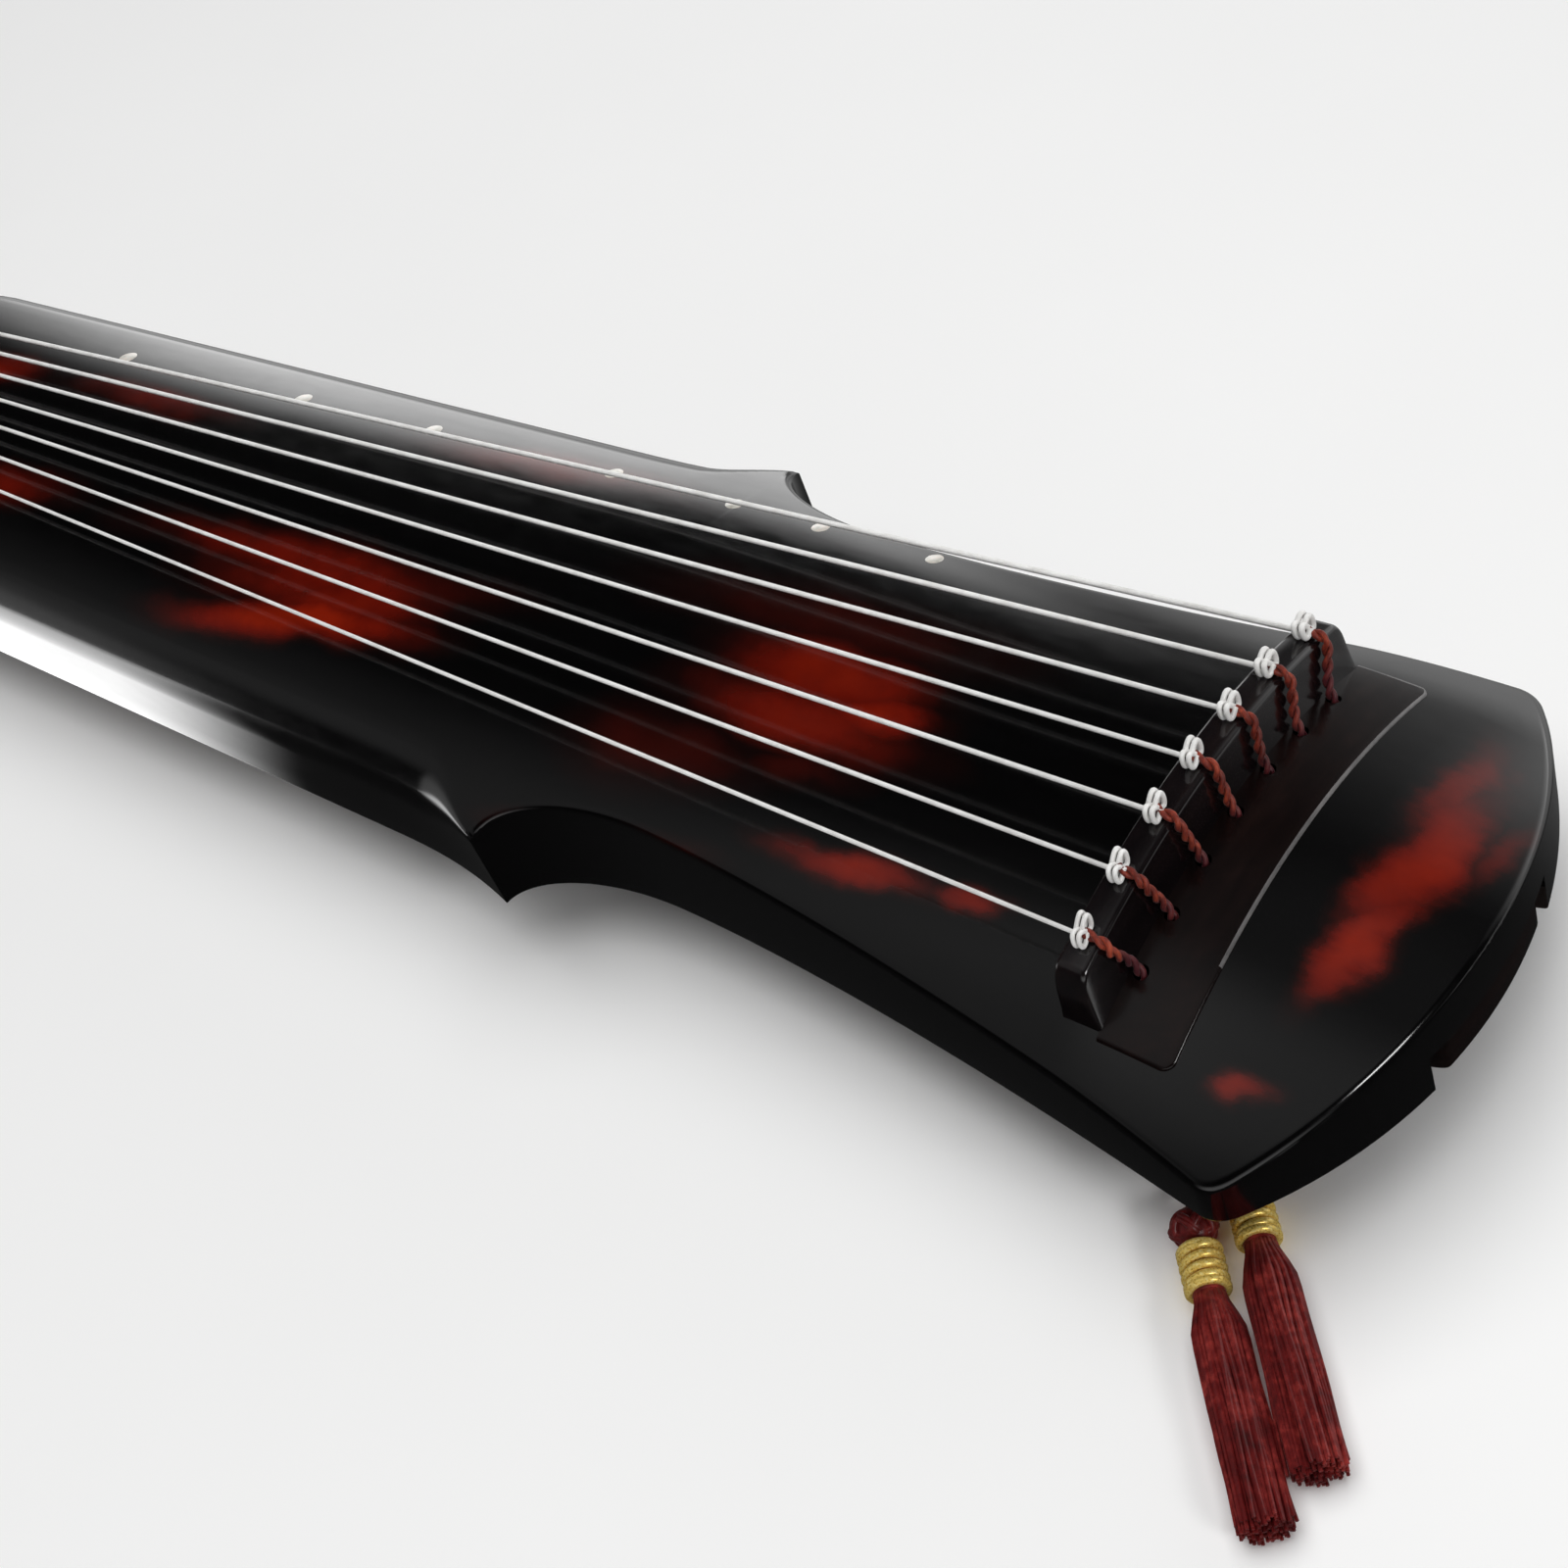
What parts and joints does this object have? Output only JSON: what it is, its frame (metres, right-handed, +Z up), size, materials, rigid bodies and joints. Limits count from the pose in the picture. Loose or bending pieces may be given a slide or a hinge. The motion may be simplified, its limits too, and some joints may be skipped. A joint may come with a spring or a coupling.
{
  "type": "guqin",
  "caption": "Long seven-string zither with a lacquered hollow body, raised bridge, side studs, tuning pegs under the head, tassels and two goose feet.",
  "frame": {"origin": "centre of the instrument's bounding box, on the surface that its feet and guards stand on, without the tassels", "axes": "+X along the instrument to the head, +Y to the far side with the studs, +Z up"},
  "size_m": [1.2433, 0.2589, 0.1076],
  "materials": {
    "lacquer_top": "gloss black lacquer with soft-edged vermilion clouds",
    "lacquer_bottom": "gloss black lacquer",
    "ebony": "polished dark hardwood",
    "peg_wood": "polished dark red-brown hardwood",
    "inner_wood": "bare spruce",
    "shell": "polished shell",
    "string": "white silk-look wrapped string",
    "silk_loop": "twisted red-brown silk",
    "tassel": "dark red silk with a gold-bound neck"
  },
  "bodies": {
    "root": {"top_board": "lacquer_top", "bottom_board": "lacquer_bottom", "bridge": "ebony", "head_plate": "ebony", "head_tongue": "ebony", "nut": "ebony", "lower_gum": "ebony", "horn_far": "ebony", "horn_near": "ebony", "peg_plate": "ebony", "guard_far": "peg_wood", "guard_near": "peg_wood", "foot_far": "peg_wood", "foot_near": "peg_wood", "pillar_round": "inner_wood", "pillar_square": "inner_wood", "stud_1": "shell", "stud_2": "shell", "stud_3": "shell", "stud_4": "shell", "stud_5": "shell", "stud_6": "shell", "stud_7": "shell", "stud_8": "shell", "stud_9": "shell", "stud_10": "shell", "stud_11": "shell", "stud_12": "shell", "stud_13": "shell", "string_1": "string", "string_2": "string", "string_3": "string", "string_4": "string", "string_5": "string", "string_6": "string", "string_7": "string", "silk_loop_1": "silk_loop", "silk_loop_2": "silk_loop", "silk_loop_3": "silk_loop", "silk_loop_4": "silk_loop", "silk_loop_5": "silk_loop", "silk_loop_6": "silk_loop", "silk_loop_7": "silk_loop", "tassel_1": "tassel", "tassel_2": "tassel", "tassel_3": "tassel", "tassel_4": "tassel", "tassel_5": "tassel", "tassel_6": "tassel", "tassel_7": "tassel"},
    "peg_1": {"peg_1": "peg_wood"},
    "peg_2": {"peg_2": "peg_wood"},
    "peg_3": {"peg_3": "peg_wood"},
    "peg_4": {"peg_4": "peg_wood"},
    "peg_5": {"peg_5": "peg_wood"},
    "peg_6": {"peg_6": "peg_wood"},
    "peg_7": {"peg_7": "peg_wood"}
  },
  "joints": [
    {"name": "turn_peg_1", "type": "hinge", "parent": "root", "child": "peg_1", "pos_m": [0.53575, 0.0543, 0.027], "axis": [0, 0, 1], "continuous": true},
    {"name": "turn_peg_2", "type": "hinge", "parent": "root", "child": "peg_2", "pos_m": [0.53575, 0.0362, 0.027], "axis": [0, 0, 1], "continuous": true},
    {"name": "turn_peg_3", "type": "hinge", "parent": "root", "child": "peg_3", "pos_m": [0.53575, 0.0181, 0.027], "axis": [0, 0, 1], "continuous": true},
    {"name": "turn_peg_4", "type": "hinge", "parent": "root", "child": "peg_4", "pos_m": [0.53575, 0, 0.027], "axis": [0, 0, 1], "continuous": true},
    {"name": "turn_peg_5", "type": "hinge", "parent": "root", "child": "peg_5", "pos_m": [0.53575, -0.0181, 0.027], "axis": [0, 0, 1], "continuous": true},
    {"name": "turn_peg_6", "type": "hinge", "parent": "root", "child": "peg_6", "pos_m": [0.53575, -0.0362, 0.027], "axis": [0, 0, 1], "continuous": true},
    {"name": "turn_peg_7", "type": "hinge", "parent": "root", "child": "peg_7", "pos_m": [0.53575, -0.0543, 0.027], "axis": [0, 0, 1], "continuous": true}
  ]
}
